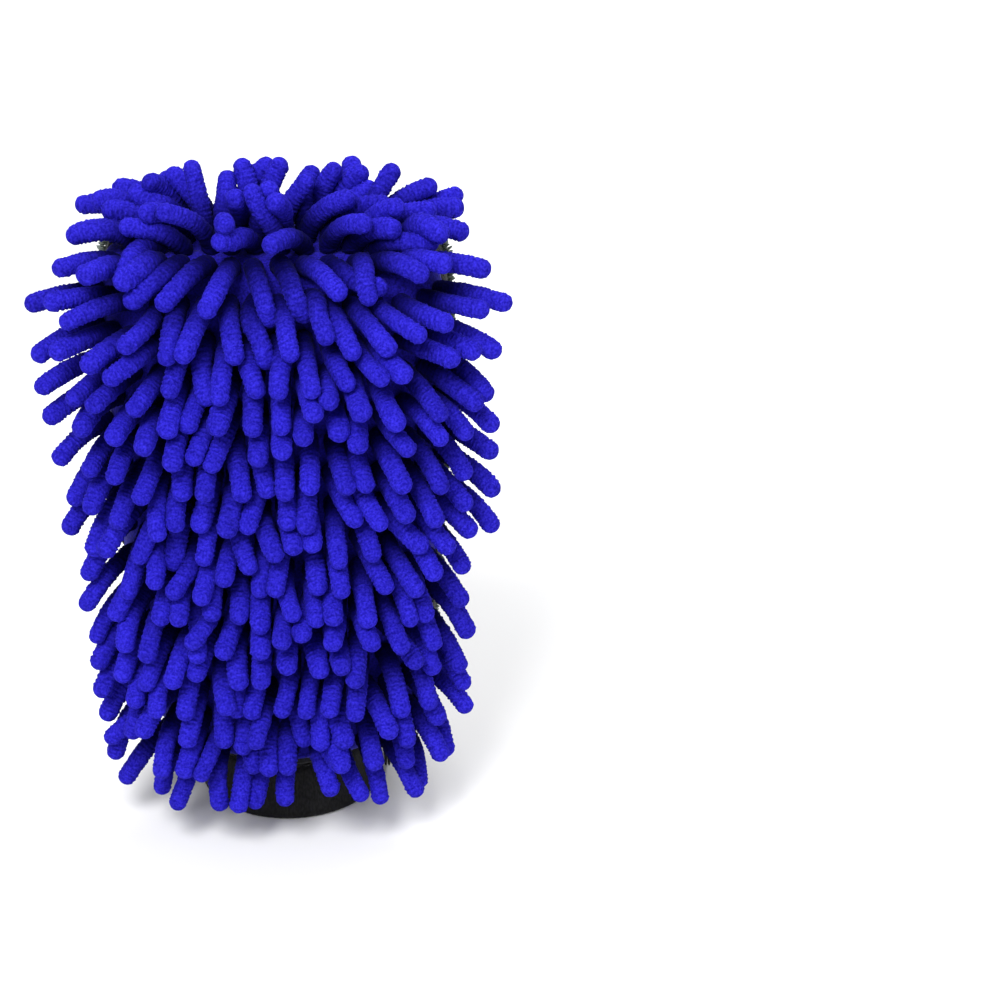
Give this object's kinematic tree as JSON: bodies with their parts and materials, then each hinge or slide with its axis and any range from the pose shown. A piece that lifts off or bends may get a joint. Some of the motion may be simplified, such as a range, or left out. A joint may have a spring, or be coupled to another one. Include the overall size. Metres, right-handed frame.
{
  "type": "wash mitt",
  "caption": "Upright wash mitt: blue chenille-noodle face over the finger end, grey plush back, black mesh side gussets, elastic cuff and a webbing hang loop.",
  "frame": {"origin": "centre of the cuff's open mouth, on the surface the mitt stands on", "axes": "+Z from the cuff to the finger end, -Y out of the chenille face, +Y out of the plush back, +X towards the side seam with the hang loop"},
  "size_m": [0.1756, 0.1073, 0.2591],
  "materials": {
    "blue_chenille": "short velvety chenille pile, matt",
    "blue_ground_knit": "fine plain knit, matt",
    "grey_plush": "clumped coral-fleece pile, matt with light tips",
    "air_mesh": "black spacer mesh with small diamond holes",
    "cuff_knit": "smooth stretch knit, matt",
    "elastic": "ribbed elastic",
    "black_thread": "polyester thread",
    "foam": "open-cell foam",
    "lining": "coated waterproof taffeta",
    "webbing": "narrow woven webbing"
  },
  "bodies": {
    "cuff": {"cuff_sleeve": "cuff_knit", "cuff_elastic_band": "elastic", "cuff_hem_stitching": "black_thread"},
    "mitt": {"neck_gather": "cuff_knit", "chenille_ground": "blue_ground_knit", "plush_panel": "grey_plush", "side_gusset_left": "air_mesh", "side_gusset_right": "air_mesh", "front_foam_pad": "foam", "back_foam_pad": "foam", "lining_bag": "lining", "chenille_row_01": "blue_chenille", "chenille_row_02": "blue_chenille", "chenille_row_03": "blue_chenille", "chenille_row_04": "blue_chenille", "chenille_row_05": "blue_chenille", "chenille_row_06": "blue_chenille", "chenille_row_07": "blue_chenille", "chenille_row_08": "blue_chenille", "chenille_row_09": "blue_chenille", "chenille_row_10": "blue_chenille", "chenille_row_11": "blue_chenille", "chenille_row_12": "blue_chenille", "chenille_row_13": "blue_chenille", "chenille_row_14": "blue_chenille", "chenille_row_15": "blue_chenille", "chenille_row_16": "blue_chenille", "chenille_row_17": "blue_chenille", "chenille_row_18": "blue_chenille", "chenille_row_19": "blue_chenille", "chenille_row_20": "blue_chenille", "front_seam_stitching": "black_thread", "back_seam_stitching": "black_thread", "top_seam_stitching": "black_thread"},
    "hang_loop": {"hang_loop_strap": "webbing", "hang_loop_bartack": "black_thread"}
  },
  "joints": [
    {"name": "wrist_flex", "type": "hinge", "parent": "cuff", "child": "mitt", "pos_m": [0, 0, 0.03], "axis": [1, 0, 0], "range_deg": [-20, 20], "deforming": ["neck_gather"]},
    {"name": "hang_loop_swing", "type": "hinge", "parent": "cuff", "child": "hang_loop", "pos_m": [0.0379, 0, 0.00675], "axis": [0, 0, -1], "range_deg": [0, 90]}
  ]
}
